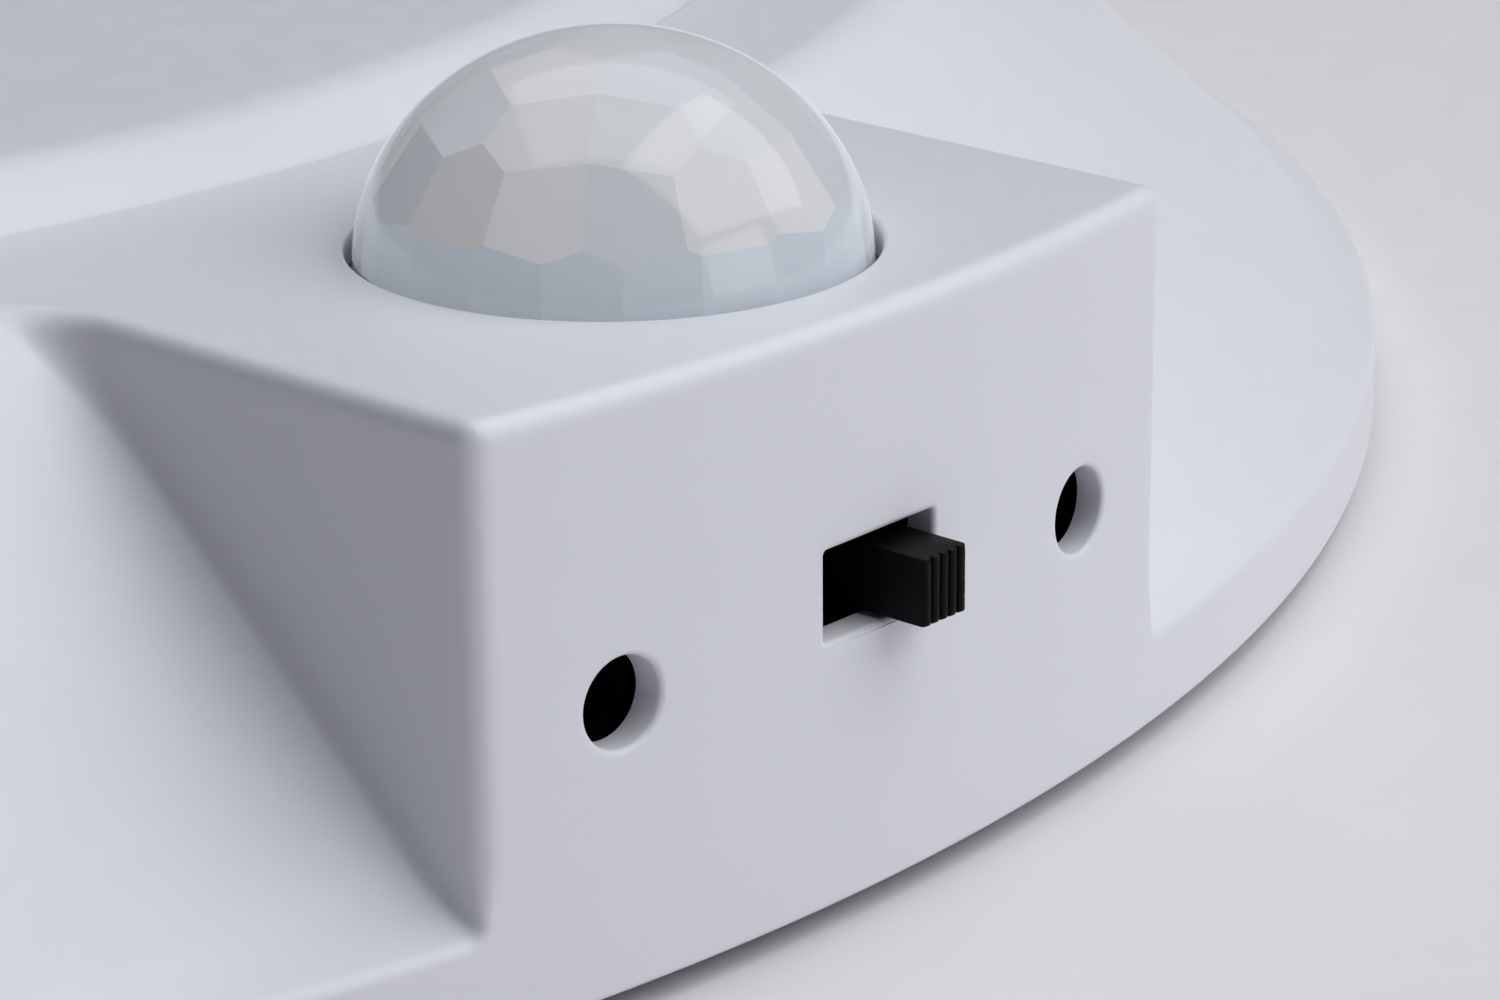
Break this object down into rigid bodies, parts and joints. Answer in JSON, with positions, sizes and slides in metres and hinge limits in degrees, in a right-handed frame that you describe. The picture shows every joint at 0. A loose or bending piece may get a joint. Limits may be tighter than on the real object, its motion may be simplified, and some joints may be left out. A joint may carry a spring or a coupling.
{
  "type": "motion sensor",
  "caption": "Round white motion-sensing ceiling light: flared dish body, rim pod with a milky Fresnel dome and slide switch, opal diffuser, twist-lock mounting plate.",
  "frame": {"origin": "centre of the mounting plate's back face, which lies on the ceiling, wall or table", "axes": "+Z out of the light's face, away from the mounting plate; -Y towards the sensor pod's switch; +X to the right seen from the switch side"},
  "size_m": [0.245, 0.2474, 0.0373],
  "materials": {
    "white_shell": "moulded white ABS with a very fine satin texture",
    "opal_diffuser": "opal white, satin",
    "milky_lens": "milky translucent polyethylene, smooth outside, facets inside",
    "inner_white": "plain white moulding",
    "black_plastic": "dull black plastic",
    "circuit_board": "green solder mask",
    "led_board": "white solder mask on aluminium",
    "red_wire": "red insulation",
    "black_wire": "black insulation",
    "led_phosphor": "yellow phosphor in a white package",
    "trimmer_blue": "dark blue moulding",
    "phenolic": "brown phenolic laminate",
    "dark_filter": "dark infrared filter",
    "cell_jacket": "plain dark shrink jacket",
    "plated_steel": "bright plated"
  },
  "bodies": {
    "wall_plate": {"mounting_plate": "inner_white"},
    "light_body": {"battery_wire_black": "black_wire", "battery_wire_red": "red_wire", "board_screw_1": "plated_steel", "board_screw_2": "plated_steel", "capacitor": "plated_steel", "case_screw_1": "plated_steel", "case_screw_2": "plated_steel", "case_screw_3": "plated_steel", "case_screw_4": "plated_steel", "cell_1": "cell_jacket", "cell_2": "cell_jacket", "cell_3": "cell_jacket", "cell_4": "cell_jacket", "contact_plate_1": "plated_steel", "contact_plate_2": "plated_steel", "contact_plate_3": "plated_steel", "contact_plate_4": "plated_steel", "contact_spring_1": "plated_steel", "contact_spring_2": "plated_steel", "contact_spring_3": "plated_steel", "contact_spring_4": "plated_steel", "control_board": "circuit_board", "diffuser": "opal_diffuser", "driver_chip": "black_plastic", "fresnel_dome": "milky_lens", "front_cover": "white_shell", "inductor": "black_plastic", "led_1": "led_phosphor", "led_2": "led_phosphor", "led_3": "led_phosphor", "led_4": "led_phosphor", "led_5": "led_phosphor", "led_6": "led_phosphor", "led_board": "led_board", "led_wire_black": "black_wire", "led_wire_red": "red_wire", "lens_retainer": "black_plastic", "light_sensor": "dark_filter", "light_shield": "black_plastic", "pir_sensor": "plated_steel", "pir_window": "dark_filter", "rear_housing": "inner_white", "reflector": "inner_white", "retainer_screw_1": "plated_steel", "retainer_screw_2": "plated_steel", "sensor_board": "circuit_board", "sensor_chip": "black_plastic", "switch_base": "phenolic", "switch_frame": "plated_steel", "switch_terminal_1": "plated_steel", "switch_terminal_2": "plated_steel", "switch_terminal_3": "plated_steel", "trimmer_body_left": "trimmer_blue", "trimmer_body_right": "trimmer_blue", "wire_connector": "inner_white"},
    "switch_slider": {"switch_knob": "black_plastic", "switch_wiper": "plated_steel"},
    "left_trimmer": {"trimmer_rotor_left": "black_plastic"},
    "right_trimmer": {"trimmer_rotor_right": "black_plastic"}
  },
  "joints": [
    {"name": "body_twist", "type": "hinge", "parent": "wall_plate", "child": "light_body", "pos_m": [0, 0, 0.0059], "axis": [0, 0, 1], "range_deg": [0, 15]},
    {"name": "switch_slide", "type": "slide", "parent": "light_body", "child": "switch_slider", "axis": [1, 0, 0], "range_m": [-0.003, 0]},
    {"name": "trimmer_turn_left", "type": "hinge", "parent": "light_body", "child": "left_trimmer", "pos_m": [-0.0153, -0.1173, 0.01425], "axis": [0, -1, 0], "range_deg": [-135, 135]},
    {"name": "trimmer_turn_right", "type": "hinge", "parent": "light_body", "child": "right_trimmer", "pos_m": [0.0153, -0.1173, 0.01425], "axis": [0, -1, 0], "range_deg": [-135, 135]}
  ]
}
